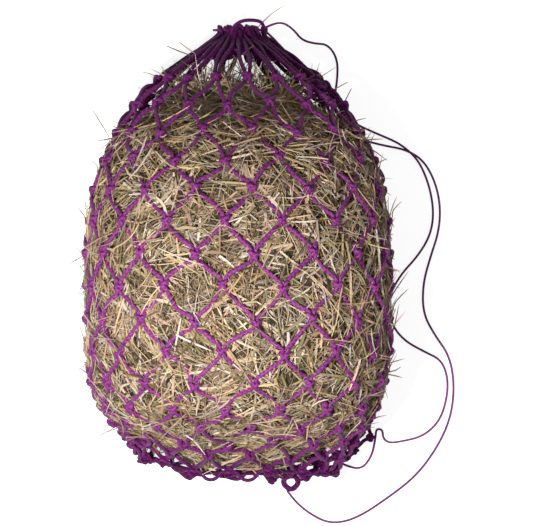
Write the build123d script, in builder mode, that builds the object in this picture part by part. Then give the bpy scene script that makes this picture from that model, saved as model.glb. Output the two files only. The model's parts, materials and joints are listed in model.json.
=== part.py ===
"""Filled hay net lying on its back: knotted netting, hay filling and a loose draw cord.

+Y runs from the base to the gathered mouth, +Z is up, and the floor is z = 0. All sizes are
in millimetres.
"""

import os
from math import cos, degrees, pi, radians, sin, sqrt, tan

from build123d import *

# Filled bag
body_width = 414.0       # widest outside size of the netting
body_height = 306.0      # floor to the top of the netting
net_length = 596.0       # mouth bights to the last row of knots
base_y = -292.0          # the last row of knots
waist_share = 0.45       # height of the widest level, as a share of a section's height
underside_swell = 1.14   # how far the underside is pressed flat on the floor
underside_bend = 0.75    # under 1 squares off the underside of a section

# Netting
meshes_round = 16
knot_rows = 16
twine_d = 5.8
knot_d = 13.0
leg_gap = 1.8            # between two legs that leave a knot on the same side
knot_trim = 3.0          # how far short of a knot's middle each leg ends
lattice_turn = 6.0       # degrees from the top line to the nearest knot of an odd row
wander = 4.0             # uneven knot spacing on the upper side

# Gathered mouth
gather_length = 24.0
mouth_leg = 60.0         # leg of a mouth mesh, from the gather to the first knot
bight_gap = 0.5          # between neighbouring bights on the draw cord
mouth_z = 22.0           # height of the draw cord in the mouth
run_gap = 1.0            # between the upper and the lower run of bights

# Hay
hay_clearance = 2.5      # between the hay and the knots
hay_top_f = 0.15         # where the hay starts, as a share of the net's length
hay_end_f = 0.975        # where the hay ends
hay_round_f = 0.13       # length over which each end of the hay is rounded
bulge_margin_f = 0.05    # from each end of the hay to the first bulge
bulge_gap = 0.5          # between a bulge of hay and the twine round it

# Cords
cord_d = 3.0
running_gap = 0.1        # between the draw cord and the bights on it
tie_d = 11.0             # knot that ties the draw cord
tie_gap = 0.5            # between that knot and the gather
ring_bore = 11.0         # hole of the base ring
ring_cord_d = 8.0
hitch_d = 13.0           # hitch that holds the ring
hitch_x = 71.0
hitch_gap = 1.0          # from the hitch to the floor and to the last row's line
run_share = 0.45         # how much of a run the bend beside it takes up

os.makedirs("parts", exist_ok=True)

twine_r = twine_d / 2
knot_r = knot_d / 2
cord_r = cord_d / 2

# Outline of the netting along its length: share of the length from the mouth, share of the
# body's width, share of the body's height.
stations = [
    (0.00, 0.155, 0.150),
    (0.04, 0.335, 0.310),
    (0.08, 0.450, 0.385),
    (0.125, 0.580, 0.480),
    (0.17, 0.700, 0.580),
    (0.24, 0.820, 0.705),
    (0.33, 0.930, 0.840),
    (0.44, 0.985, 0.945),
    (0.55, 1.000, 0.990),
    (0.66, 0.995, 1.000),
    (0.76, 0.985, 0.955),
    (0.83, 0.935, 0.870),
    (0.89, 0.850, 0.720),
    (0.94, 0.760, 0.520),
    (0.975, 0.700, 0.370),
    (1.00, 0.650, 0.250),
]


def along(f):
    """Half width and height of the netting's centre line at share f of its length."""
    k = max(i for i in range(len(stations) - 1) if stations[i][0] <= f or i == 0)
    f0, f1 = stations[k][0], stations[k + 1][0]
    s = (f - f0) / (f1 - f0)
    values = []
    for c in (1, 2):
        slopes = []
        for i in (k, k + 1):
            low, high = stations[max(i - 1, 0)], stations[min(i + 1, len(stations) - 1)]
            slopes.append((high[c] - low[c]) / (high[0] - low[0]) * (f1 - f0))
        v0, v1 = stations[k][c], stations[k + 1][c]
        values.append(
            (2 * s**3 - 3 * s**2 + 1) * v0
            + (s**3 - 2 * s**2 + s) * slopes[0]
            + (3 * s**2 - 2 * s**3) * v1
            + (s**3 - s**2) * slopes[1]
        )
    return values[0] * (body_width - twine_d) / 2, values[1] * body_height - twine_r


def station_y(f):
    return base_y + (1 - f) * net_length


def section_point(turn, half_width, low, high, flat=True):
    """A point of a cross-section, at a turn in degrees from the top towards +X.

    The underside dips under low, and lies flat at low where flat is true.
    """
    a = radians(turn)
    waist = low + waist_share * (high - low)
    if cos(a) > 0:
        return half_width * sin(a), waist + (high - waist) * cos(a)
    side = 1 if sin(a) > 0 else -1
    drop = underside_swell * (waist - low) * abs(cos(a)) ** underside_bend
    z = waist - drop
    return half_width * side * abs(sin(a)) ** underside_bend, max(low, z) if flat else z


def net_point(turn, f):
    half_width, high = along(f)
    x, z = section_point(turn, half_width, knot_r, high)
    return Vector(x, station_y(f), z)


# Rows of knots, spaced so that every bar on the top line has the same length
gather_f = gather_length / net_length
half_mesh = 180 / meshes_round


def next_row(f, reach):
    """Share of the length where a bar of this reach, from the top line, meets the next row."""
    low, high = f, 1.0
    for _ in range(40):
        mid = (low + high) / 2
        if (net_point(half_mesh, mid) - net_point(0, f)).length < reach:
            low = mid
        else:
            high = mid
    return high


def rows_for(bar):
    rows = [next_row(gather_f, mouth_leg)]
    while len(rows) < knot_rows:
        rows.append(next_row(rows[-1], bar))
    return rows


short_bar, long_bar = 0.0, net_length
for _ in range(40):
    mesh_bar = (short_bar + long_bar) / 2
    if rows_for(mesh_bar)[-1] < 1.0:
        short_bar = mesh_bar
    else:
        long_bar = mesh_bar
row_f = rows_for(short_bar)
print(f"mesh bar {short_bar:.1f} mm, rows at y =", [round(station_y(f)) for f in row_f])


# Knots and bars
def knot_place(row, k):
    """Centre of knot k of a row, counted from 1 at the mouth."""
    turn = lattice_turn + (k - (0 if row % 2 else 0.5)) * 2 * half_mesh
    upper = max(0.0, cos(radians(turn)))
    turn += upper * degrees(wander / body_width) * sin(2.3 * row + 4.1 * k)
    shift = upper * wander / net_length * sin(3.7 * row + 2.9 * k)
    return net_point(turn, min(row_f[row - 1] + shift, 1.0))


knots = {
    row: [knot_place(row, k) for k in range(meshes_round)] for row in range(1, knot_rows + 1)
}


def row_direction(row, k):
    """The way round the net at knot k, from the knot before it to the knot after it."""
    ring = knots[row]
    return (ring[(k + 1) % meshes_round] - ring[k - 1]).normalized()


def lower_pair(row, k):
    """The two knots of the next row that knot k hangs on to: before it and after it."""
    before = k if row % 2 else k - 1
    return before % meshes_round, (before + 1) % meshes_round


def add_bar(start, end, radius, trim=0.0):
    """A straight piece of twine or cord, shorter than its two points by a trim at each end."""
    along_bar = (end - start).normalized()
    with Locations(Plane(start + along_bar * trim, z_dir=along_bar)):
        Cylinder(
            radius,
            (end - start).length - 2 * trim,
            align=(Align.CENTER, Align.CENTER, Align.MIN),
        )


def save(piece, name):
    piece.part.label = name
    export_step(piece.part, f"parts/{name}.step")


leg_side = twine_r + leg_gap / 2

for row in range(1, knot_rows + 1):
    with BuildPart() as row_of_knots:
        with Locations(*knots[row]):
            Sphere(knot_r)
    save(row_of_knots, f"net_knots_{row:02d}")

for row in range(1, knot_rows):
    with BuildPart() as course:
        for k in range(meshes_round):
            for side, lower in zip((-1, 1), lower_pair(row, k)):
                start = knots[row][k] + row_direction(row, k) * side * leg_side
                end = knots[row + 1][lower] - row_direction(row + 1, lower) * side * leg_side
                add_bar(start, end, twine_r, knot_trim)
    save(course, f"net_course_{row + 1:02d}")


# Gathered mouth: the bunched meshes are one lump, with a bight of each mesh on the draw cord
mouth_y = station_y(0)
fan_y = station_y(gather_f)
outline_steps = 24


def outline_at(f, grow):
    half_width, high = along(f)
    return [
        section_point(i * 360 / outline_steps, half_width + grow, 0.0, high + grow, False)
        for i in range(outline_steps)
    ]


with BuildPart() as mouth_gather:
    for f in (0, gather_f):
        with BuildSketch(Plane.XZ.offset(-station_y(f))):
            with BuildLine():
                Spline(*outline_at(f, twine_r), periodic=True)
            make_face()
    loft()
    split(bisect_by=Plane.XY, keep=Keep.TOP)
save(mouth_gather, "mouth_gather")

with BuildPart() as mouth_legs:
    for k in range(meshes_round):
        turn = lattice_turn + k * 2 * half_mesh
        for side in (-1, 1):
            start = net_point(turn + side * half_mesh / 2, gather_f)
            end = knots[1][k] + row_direction(1, k) * side * leg_side
            add_bar(start, end, twine_r)
save(mouth_legs, "mouth_legs")

bight_reach = cord_r + running_gap + twine_r
cord_y = mouth_y + bight_reach
strands_per_run = meshes_round // 2
bight_pitch = twine_d + bight_gap
run_width = (strands_per_run - 1) * bight_pitch
run_half_gap = bight_reach + twine_r + run_gap
run_end = run_width / 2 + twine_r + run_gap

with BuildPart() as mouth_bights:
    for run in (-1, 1):
        for n in range(strands_per_run):
            x = -run_width / 2 + n * bight_pitch
            z = mouth_z + run * run_half_gap
            with BuildLine():
                Line((x, mouth_y, z + bight_reach), (x, cord_y, z + bight_reach))
                ThreePointArc(
                    (x, cord_y, z + bight_reach),
                    (x, cord_y + bight_reach, z),
                    (x, cord_y, z - bight_reach),
                )
                Line((x, cord_y, z - bight_reach), (x, mouth_y, z - bight_reach))
            with BuildSketch(Plane((x, mouth_y, z + bight_reach), z_dir=(0, 1, 0))):
                Circle(twine_r)
            sweep()
save(mouth_bights, "mouth_bights")

# Draw cord: the part held in the mouth, its knot and the loop that lies over the gather
tie_r = tie_d / 2
tie_centre = Vector(run_end + run_half_gap, mouth_y + tie_r + tie_gap, mouth_z)

with BuildPart() as cord_tie:
    with Locations(tie_centre):
        Sphere(tie_r)
save(cord_tie, "draw_cord_tie")

with BuildPart() as cord_in_mouth:
    top, bottom = mouth_z + run_half_gap, mouth_z - run_half_gap
    side = run_end + run_half_gap
    with BuildLine():
        Line((-run_end, cord_y, top), (run_end, cord_y, top))
        ThreePointArc((run_end, cord_y, top), (side, cord_y, mouth_z), (run_end, cord_y, bottom))
        Line((run_end, cord_y, bottom), (-run_end, cord_y, bottom))
        ThreePointArc((-run_end, cord_y, bottom), (-side, cord_y, mouth_z), (-run_end, cord_y, top))
    with BuildSketch(Plane((0, cord_y, top), z_dir=(1, 0, 0))):
        Circle(cord_r)
    sweep()
    with Locations(tie_centre):
        Sphere(tie_r, mode=Mode.SUBTRACT)
save(cord_in_mouth, "draw_cord_in_mouth")


def corner_radii(points):
    """Radius at each corner of a route: as large as its two runs allow."""
    radii = []
    for before, corner, after in zip(points, points[1:], points[2:]):
        run_in, run_out = Vector(corner) - Vector(before), Vector(after) - Vector(corner)
        half_turn = radians(run_in.get_angle(run_out)) / 2
        radii.append(run_share * min(run_in.length, run_out.length) / tan(half_turn))
    return radii


def cord_along(points):
    """A draw cord swept along straight runs joined by tangent arcs, and its length."""
    with BuildPart() as cord:
        with BuildLine() as route:
            FilletPolyline(*points, radius=corner_radii(points))
        with BuildSketch(Plane(points[0], z_dir=Vector(points[1]) - Vector(points[0]))):
            Circle(cord_r)
        sweep()
    return cord, sum(edge.length for edge in route.edges())


# A loop of the draw cord rises from the gather, passes over the bights and goes into the tie
loop_z = mouth_z + run_half_gap + bight_reach + twine_d
loop_points = [
    (-12, mouth_y - 8, loop_z),
    (-9, mouth_y + 6, loop_z),
    (3, mouth_y + 17, loop_z),
    (20, mouth_y + 18, loop_z - 4),
    (tie_centre.X, mouth_y + 15, loop_z - 9),
    tuple(tie_centre),
]
whole_loop, _ = cord_along(loop_points)
with BuildPart() as cord_loop:
    add(whole_loop.part)
    with Locations(tie_centre):
        Sphere(tie_r, mode=Mode.SUBTRACT)
    add(mouth_gather.part, mode=Mode.SUBTRACT)
save(cord_loop, "draw_cord_loop")

# Base: a cord through the last row of knots, and a small ring hitched to it
ring_major = ring_bore / 2 + ring_cord_d / 2
hitch_r = hitch_d / 2
hitch_centre = Vector(hitch_x, base_y - hitch_r - hitch_gap, hitch_r + hitch_gap)

with BuildPart() as base_cord:
    for k in range(meshes_round):
        add_bar(knots[knot_rows][k - 1], knots[knot_rows][k], cord_r)
    with Locations(hitch_centre):
        Sphere(hitch_r, mode=Mode.SUBTRACT)
save(base_cord, "base_cord")

with BuildPart() as ring_hitch:
    with Locations(hitch_centre):
        Sphere(hitch_r)
save(ring_hitch, "base_ring_hitch")

with BuildPart() as base_ring:
    with Locations((hitch_centre.X, hitch_centre.Y - ring_major, ring_cord_d / 2)):
        Torus(ring_major, ring_cord_d / 2)
    with Locations(hitch_centre):
        Sphere(hitch_r, mode=Mode.SUBTRACT)
save(base_ring, "base_ring")

# Hay: one body inside the netting, and the bulges that it presses through the underside meshes
hay_inset = knot_r + hay_clearance
hay_floor = knot_d + hay_clearance
hay_sections = 14


def hay_outline(f):
    edge = min(f - hay_top_f, hay_end_f - f)
    share = 1.0 if edge > hay_round_f else sqrt(1 - (1 - edge / hay_round_f) ** 2)
    half_width, high = along(f)
    points = []
    for i in range(outline_steps):
        turn = i * 360 / outline_steps
        x, z = section_point(turn, half_width - hay_inset, hay_floor, high - hay_inset, False)
        points.append((x * share, hay_floor + (z - hay_floor) * share))
    return points


with BuildPart() as hay_core:
    for i in range(hay_sections):  # closer together towards the two round ends
        bow = (1 - cos(pi * (i + 0.6) / (hay_sections + 0.2))) / 2
        f = hay_top_f + bow * (hay_end_f - hay_top_f)
        with BuildSketch(Plane.XZ.offset(-station_y(f))):
            with BuildLine():
                Spline(*hay_outline(f), periodic=True)
            make_face()
    loft()
    split(bisect_by=Plane.XY.offset(hay_floor), keep=Keep.TOP)
save(hay_core, "hay_core")

bulges_from, bulges_to = hay_top_f + bulge_margin_f, hay_end_f - bulge_margin_f

with BuildPart() as hay_bulges:
    for row in range(1, knot_rows - 1):
        for k in range(meshes_round):
            before, after = lower_pair(row, k)
            corners = [
                knots[row][k], knots[row + 1][before], knots[row + 2][k], knots[row + 1][after]
            ]
            on_floor = all(corner.Z < knot_r + 0.01 for corner in corners)
            if on_floor and bulges_from < row_f[row - 1] and row_f[row + 1] < bulges_to:
                flat = [(corner.X, corner.Y) for corner in corners]
                with BuildSketch() as footprint:
                    with BuildLine():
                        Polyline(*flat, close=True)
                    make_face()
                    offset(amount=-(leg_side + twine_r + bulge_gap), kind=Kind.INTERSECTION)
                    with Locations(*flat):
                        Circle(knot_r + bulge_gap, mode=Mode.SUBTRACT)
                extrude(amount=hay_floor)
save(hay_bulges, "hay_bulges_under")

# Draw cord: its two strands lie loose on the floor from the tie to the base
low = cord_r
short_strand = [
    (37.5, 312.5, 21), (48, 318, 14), (61, 319.5, 5), (75, 310, low), (86, 296, low),
    (103, 291, low), (122, 290, low), (135, 270, low), (135, 243, low), (131, 219, low),
    (138, 198, low), (157, 182, low), (188, 168, low), (214, 157, 2.5), (226, 149, 8),
    (240, 137, 8), (251, 121, 2.5), (262, 92, low), (267, 58, low), (262, 28, low),
    (245, 0, low), (221, -26, low), (205, -56, low), (207, -90, low), (225, -115, low),
    (254, -131, low), (277, -142, low), (286, -166, low), (285, -194, low), (275, -226, low),
    (252, -247, low), (222, -254, low), (205, -256, low), (197, -249, low), (197, -238, low),
    (188, -236, low), (187, -250, low), (182, -274, low), (168, -292, low), (148, -288, low),
    (131, -279, 5),
]
long_strand = [
    (36.5, 307, 20.5), (47, 298, 13), (58, 286, 4), (72, 273, low), (92, 256, low),
    (115, 238, low), (123, 216, low), (130, 192, low), (148, 170, low), (172, 158, low),
    (200, 151, low), (228, 146, low), (252, 132, low), (268, 104, low), (276, 70, low),
    (274, 34, low), (262, -2, low), (252, -38, low), (252, -78, low), (268, -108, low),
    (288, -136, low), (295, -174, low), (291, -218, low), (274, -258, low), (244, -300, low),
    (204, -331, low), (160, -360, low), (124, -367, low), (94, -351, low), (74, -333, low),
    (66, -321, 3),
]
strands = {"draw_cord_short_strand": short_strand, "draw_cord_long_strand": long_strand}
for name, points in strands.items():
    strand, length = cord_along(points)
    save(strand, name)
    section_length = strand.part.volume / (pi * cord_r**2)
    print(name, f"length {length:.0f} mm, volume over section {section_length:.0f} mm")
    print("  radii", [round(radius) for radius in corner_radii(points)])
    runs = [(Vector(b) - Vector(a)).length for a, b in zip(points, points[1:])]
    print("  runs", [round(run) for run in runs])
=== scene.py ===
import json
import math

import bpy
import numpy as np
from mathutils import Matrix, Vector, kdtree, noise
from mathutils.bvhtree import BVHTree

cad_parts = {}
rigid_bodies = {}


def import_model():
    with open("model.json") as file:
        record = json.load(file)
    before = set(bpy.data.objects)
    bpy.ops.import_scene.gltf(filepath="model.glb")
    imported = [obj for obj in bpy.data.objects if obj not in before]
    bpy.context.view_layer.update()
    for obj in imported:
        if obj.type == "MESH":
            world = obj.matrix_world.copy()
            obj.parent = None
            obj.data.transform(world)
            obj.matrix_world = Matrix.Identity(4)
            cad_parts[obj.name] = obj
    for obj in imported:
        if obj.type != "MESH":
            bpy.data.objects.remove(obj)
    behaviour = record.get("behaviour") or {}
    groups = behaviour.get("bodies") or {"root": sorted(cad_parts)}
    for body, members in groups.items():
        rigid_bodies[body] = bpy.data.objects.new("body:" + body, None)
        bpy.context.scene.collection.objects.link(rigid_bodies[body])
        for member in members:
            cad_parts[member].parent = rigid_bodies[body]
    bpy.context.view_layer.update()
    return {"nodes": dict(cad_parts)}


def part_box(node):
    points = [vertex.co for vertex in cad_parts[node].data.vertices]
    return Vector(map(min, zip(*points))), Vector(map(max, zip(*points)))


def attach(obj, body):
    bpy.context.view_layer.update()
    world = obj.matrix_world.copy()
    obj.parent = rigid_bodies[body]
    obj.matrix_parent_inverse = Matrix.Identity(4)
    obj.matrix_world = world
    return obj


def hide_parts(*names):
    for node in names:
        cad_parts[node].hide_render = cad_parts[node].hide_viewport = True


for starter in list(bpy.data.objects):
    bpy.data.objects.remove(starter)
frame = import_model()
randomFrom = np.random.default_rng
mm = 0.001
up = np.array([0.0, 0.0, 1.0])


def deselectAll():
    for other in bpy.context.selected_objects:
        other.select_set(False)


def finishPiece(name, mesh, material, replaced=()):
    piece = bpy.data.objects.new(name, mesh)
    bpy.context.collection.objects.link(piece)
    mesh.materials.append(material)
    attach(piece, "root")
    if replaced:
        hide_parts(*replaced)
    return piece


# ---- materials
class Value:
    # a shader socket that takes part in plain arithmetic
    def __init__(self, shader, socket):
        self.shader, self.socket = shader, socket

    def maths(self, operation, *values):
        return self.shader.add("ShaderNodeMath", {"operation": operation}, dict(enumerate(values)))

    def __add__(self, other):
        return self.maths("ADD", self, other)

    def __mul__(self, other):
        return self.maths("MULTIPLY", self, other)

    def __sub__(self, other):
        return self.maths("SUBTRACT", self, other)

    def __rsub__(self, other):
        return self.maths("SUBTRACT", other, self)

    __radd__ = __add__
    __rmul__ = __mul__

    def sine(self):
        return self.maths("SINE", self)


class Shader:
    def __init__(self, name):
        self.material = bpy.data.materials.new(name)
        self.material.use_nodes = True
        self.tree = self.material.node_tree
        self.surface = self.tree.nodes["Principled BSDF"]

    def add(self, kind, settings=None, inputs=None, output=0):
        node = self.tree.nodes.new(kind)
        for setting, value in (settings or {}).items():
            if setting == "stops":
                self.setStops(node.color_ramp, value)
            else:
                setattr(node, setting, value)
        self.fill(node, inputs or {})
        return Value(self, node.outputs[output])

    def setStops(self, ramp, stops):
        while len(ramp.elements) < len(stops):
            ramp.elements.new(0.5)
        for element, (place, colour) in zip(ramp.elements, stops):
            element.position = place
            element.color = (*colour, 1)

    def fill(self, node, inputs):
        for name, value in inputs.items():
            if isinstance(value, Value):
                self.tree.links.new(value.socket, node.inputs[name])
            else:
                node.inputs[name].default_value = value

    def noise(self, scale, detail=3.0, vector=None):
        inputs = {"Scale": scale, "Detail": detail}
        if vector is None:
            vector = self.add("ShaderNodeTexCoord", output="Object")
        inputs["Vector"] = vector
        return self.add("ShaderNodeTexNoise", {}, inputs)

    def mix(self, factor, first, second, blend="MIX"):
        # sockets 6 and 7 of the Mix node are its two colours, and output 2 is the colour
        inputs = {0: factor, 6: first, 7: second}
        return self.add("ShaderNodeMix", {"data_type": "RGBA", "blend_type": blend}, inputs, 2)

    def finish(self, inputs, bump=None, depth=0.0005, strength=0.45):
        if bump is not None:
            bumpInputs = {"Height": bump, "Distance": depth, "Strength": strength}
            inputs["Normal"] = self.add("ShaderNodeBump", {}, bumpInputs)
        self.fill(self.surface, inputs)
        return self.material


braid = {"strands": 4, "pitch": 2.6, "depth": 0.5 * mm}
# painted shade: the twine is darker towards the mouth and the base: from and to, in metres along the net, and
# how dark
shadedEnds = {"mouth": (0.0, 0.27, 0.72), "base": (-0.20, -0.29, 0.55)}
# each cord's bright ridges and dark hollows, painted light and shade over the braid; its pale patches, partly
# lint and partly painted sheen; and how much of them it has
cordColours = {
    "purpleTwine": ((0.38, 0.036, 0.33), (0.075, 0.003, 0.066), (0.52, 0.20, 0.45), 0.45),
    "shadedTwine": ((0.30, 0.022, 0.26), (0.055, 0.002, 0.050), (0.36, 0.09, 0.31), 0.4),
    "purpleDrawCord": ((0.36, 0.060, 0.31), (0.17, 0.020, 0.15), (0.40, 0.22, 0.36), 0.5),
}


def braidedMaterial(name):
    # the UV map runs once round the cord in U, and by diameters along it in V
    bright, dark, dustAndSheenColour, dustAndSheenShare = cordColours[name]
    shader = Shader(name)
    around = shader.add("ShaderNodeUVMap")
    turns = shader.add("ShaderNodeSeparateXYZ", {}, {0: around}, 0) * (math.pi * braid["strands"])
    lengthwise = shader.add("ShaderNodeSeparateXYZ", {}, {0: around}, 1)
    rise = lengthwise * (math.pi * braid["strands"] / braid["pitch"])
    right, left = (turns + rise).sine(), (turns - rise).sine()
    ridges = right.maths("MAXIMUM", right, left)
    fibres = shader.noise(900, 2)
    patches = shader.noise(28, 3)
    fine = shader.noise(160, 2)
    # painted light and shade: the braid's ridges brighter and its hollows darker, with a random fibre tone
    shade = shader.mix(ridges * 0.4 + fibres * 0.55, (*dark, 1), (*bright, 1))
    # pale patches: part lint, part painted sheen
    dustAndSheen = patches * fine * dustAndSheenShare
    shade = shader.mix(dustAndSheen.maths("MINIMUM", dustAndSheen, 0.8), shade, (*dustAndSheenColour, 1))
    places = shader.add("ShaderNodeTexCoord", output="Object")
    alongNet = shader.add("ShaderNodeSeparateXYZ", {}, {0: places}, 1)
    # painted shade: towards the mouth and the base the colour is mixed towards the dark hollow colour
    for begins, ends, darkness in shadedEnds.values():
        near = shader.add("ShaderNodeMapRange", {}, {
            "Value": alongNet, "From Min": begins, "From Max": ends, "To Min": 0.0, "To Max": darkness,
        })
        shade = shader.mix(near, shade, (*dark, 1))
    return shader.finish(
        {"Base Color": shade, "Roughness": fibres * 0.25 + 0.3, "Specular IOR Level": 0.12,
         "Sheen Weight": 0.03, "Sheen Roughness": 0.4},
        bump=ridges + fibres * 0.5, depth=braid["depth"],
    )


def stalkMaterial(name, roughness):
    # each stalk has its own colour in an attribute; streaks run along it
    shader = Shader(name)
    own = shader.add("ShaderNodeAttribute", {"attribute_name": "straw"})
    streaks = shader.noise(420, 3)
    stains = shader.noise(60, 3)
    streaked = shader.mix(streaks * 0.5, own, (0.72, 0.66, 0.54, 1), "MULTIPLY")
    stained = shader.mix(stains * 0.35, streaked, (0.42, 0.36, 0.24, 1), "MULTIPLY")
    return shader.finish(
        {"Base Color": stained, "Roughness": streaks * 0.3 + roughness, "Specular IOR Level": 0.4},
        bump=streaks, depth=0.2 * mm,
    )


def coreMaterial(name):
    shader = Shader(name)
    places = shader.add("ShaderNodeTexCoord", output="Object")
    stretched = shader.add("ShaderNodeMapping", {}, {"Vector": places, "Scale": (1, 5, 1)})
    turned = shader.add(
        "ShaderNodeMapping", {}, {"Vector": places, "Scale": (4, 1, 1), "Rotation": (0, 0.4, 0.7)}
    )
    fibres = shader.noise(90, 4, stretched)
    crossing = shader.noise(110, 4, turned)
    both = fibres * crossing * 1.6
    # the core is near black: painted shade for the gaps between the stalks, over crossing fibre streaks
    shades = [(0.12, (0.010, 0.006, 0.003)), (0.45, (0.055, 0.036, 0.018)), (0.8, (0.16, 0.115, 0.06))]
    colour = shader.add("ShaderNodeValToRGB", {"stops": shades}, {0: both})
    return shader.finish({"Base Color": colour, "Roughness": 0.9}, bump=both, depth=2 * mm)


purple = braidedMaterial("purpleTwine")
# shadedTwine is a darker copy of the twine for the mouth, neck and base pieces: painted shade
shadedPurple = braidedMaterial("shadedTwine")
cordPurple = braidedMaterial("purpleDrawCord")
dryStalk = stalkMaterial("dryStalk", 0.45)
hayCoreShade = coreMaterial("hayCoreShade")
print("materials made")


# ---- tubes
def smoothLine(points, step, closed=False):
    # a rounded line through the points, with places about a step apart
    points = np.asarray(points, float)
    count = len(points)
    picks = range(count if closed else count - 1)
    line = []
    for i in picks:
        if closed:
            p0, p1, p2, p3 = (points[(i + j) % count] for j in (-1, 0, 1, 2))
        else:
            p0, p1, p2, p3 = (points[min(max(i + j, 0), count - 1)] for j in (-1, 0, 1, 2))
        k1 = max(np.linalg.norm(p1 - p0), 1e-9) ** 0.5
        k2 = max(np.linalg.norm(p2 - p1), 1e-9) ** 0.5
        k3 = max(np.linalg.norm(p3 - p2), 1e-9) ** 0.5
        straight = (p2 - p1) / k2
        t1, t2 = straight, straight
        if k1 > 1e-4:
            t1 = (p1 - p0) / k1 - (p2 - p0) / (k1 + k2) + straight
        if k3 > 1e-4:
            t2 = straight - (p3 - p1) / (k2 + k3) + (p3 - p2) / k3
        t1, t2 = t1 * k2, t2 * k2
        parts = max(1, round(np.linalg.norm(p2 - p1) / step))
        for s in np.arange(parts) / parts:
            line.append(
                (2 * s**3 - 3 * s**2 + 1) * p1 + (s**3 - 2 * s**2 + s) * t1
                + (3 * s**2 - 2 * s**3) * p2 + (s**3 - s**2) * t2
            )
    if not closed:
        line.append(points[-1])
    return np.array(line)


def tubeArrays(line, radii, sides, closed):
    line = np.asarray(line, float)
    count = len(line)
    radii = np.broadcast_to(radii, count)
    if closed:
        heading = np.roll(line, -1, 0) - np.roll(line, 1, 0)
    else:
        heading = np.gradient(line, axis=0)
    heading /= np.linalg.norm(heading, axis=1, keepdims=True)
    side = np.cross(heading[0], up)
    if np.linalg.norm(side) < 0.1:
        side = np.cross(heading[0], [1.0, 0.0, 0.0])
    sideAt = np.empty_like(line)
    for i in range(count):
        side = side - heading[i] * (side @ heading[i])
        side /= np.linalg.norm(side)
        sideAt[i] = side
    lift = np.cross(heading, sideAt)
    if closed:  # spread the twist that is left over the whole ring
        carried = sideAt[-1] - heading[0] * (sideAt[-1] @ heading[0])
        twist = math.atan2(carried @ lift[0], carried @ sideAt[0])
        turn = -twist * np.arange(count) / count
        sideAt, lift = (
            sideAt * np.cos(turn)[:, None] + lift * np.sin(turn)[:, None],
            lift * np.cos(turn)[:, None] - sideAt * np.sin(turn)[:, None],
        )
    angles = np.arange(sides) * 2 * math.pi / sides
    ring = sideAt[:, None, :] * np.cos(angles)[None, :, None]
    ring = ring + lift[:, None, :] * np.sin(angles)[None, :, None]
    places = (line[:, None, :] + ring * radii[:, None, None]).reshape(-1, 3)
    rings = np.arange(count if closed else count - 1)
    i, j = np.meshgrid(rings, np.arange(sides), indexing="ij")
    after, beside = (i + 1) % count, (j + 1) % sides
    faces = np.stack([i * sides + j, i * sides + beside, after * sides + beside, after * sides + j], -1)
    faces = faces.reshape(-1, 4)
    steps = np.linalg.norm(np.diff(line, axis=0, append=line[:1]), axis=1)
    run = np.concatenate([[0], np.cumsum(steps)])[: count + 1] / (2 * radii.mean())
    if closed:  # a whole number of plaits, so that the pattern meets itself
        run *= max(1, round(run[-1] / braid["pitch"])) * braid["pitch"] / run[-1]
    u = np.stack([j, j + 1, j + 1, j], -1) / sides
    v = np.stack([run[i], run[i], run[i + 1], run[i + 1]], -1)
    return places, faces, np.stack([u, v], -1).reshape(-1, 4, 2)


def tubeMesh(name, tubes):
    # tubes: (line, radii, sides, closed)
    allPlaces, allFaces, allUvs, start = [], [], [], 0
    caps = []
    for line, radii, sides, closed in tubes:
        places, faces, uvs = tubeArrays(line, radii, sides, closed)
        if not closed:
            caps.append([start + j for j in reversed(range(sides))])
            caps.append([start + len(places) - sides + j for j in range(sides)])
        allPlaces.append(places)
        allFaces.append(faces + start)
        allUvs.append(uvs)
        start += len(places)
    faces = np.concatenate(allFaces)
    mesh = bpy.data.meshes.new(name)
    mesh.from_pydata(np.concatenate(allPlaces).tolist(), [], faces.tolist() + caps)
    uvs = np.concatenate(allUvs).reshape(-1, 2)
    layer = mesh.uv_layers.new(name="cordRun")
    whole = np.zeros((len(mesh.loops), 2))
    whole[: len(uvs)] = uvs
    layer.data.foreach_set("uv", whole.ravel())
    mesh.polygons.foreach_set("use_smooth", [True] * len(mesh.polygons))
    mesh.update()
    return mesh


# ---- camera, straight above the net as it lies on its back
camera = {"height": 7.0, "aimX": 0.0378, "aimY": -0.0095, "levelSeen": 0.10, "widthSeen": 0.7196}


def setCamera():
    lens = bpy.data.cameras.new("camera")
    lens.sensor_width = 36
    lens.lens = lens.sensor_width * (camera["height"] - camera["levelSeen"]) / camera["widthSeen"]
    lens.clip_end = 50
    eye = bpy.data.objects.new("camera", lens)
    eye.location = (camera["aimX"], camera["aimY"], camera["height"])
    bpy.context.collection.objects.link(eye)
    bpy.context.scene.camera = eye


setCamera()
print("camera set")

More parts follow.
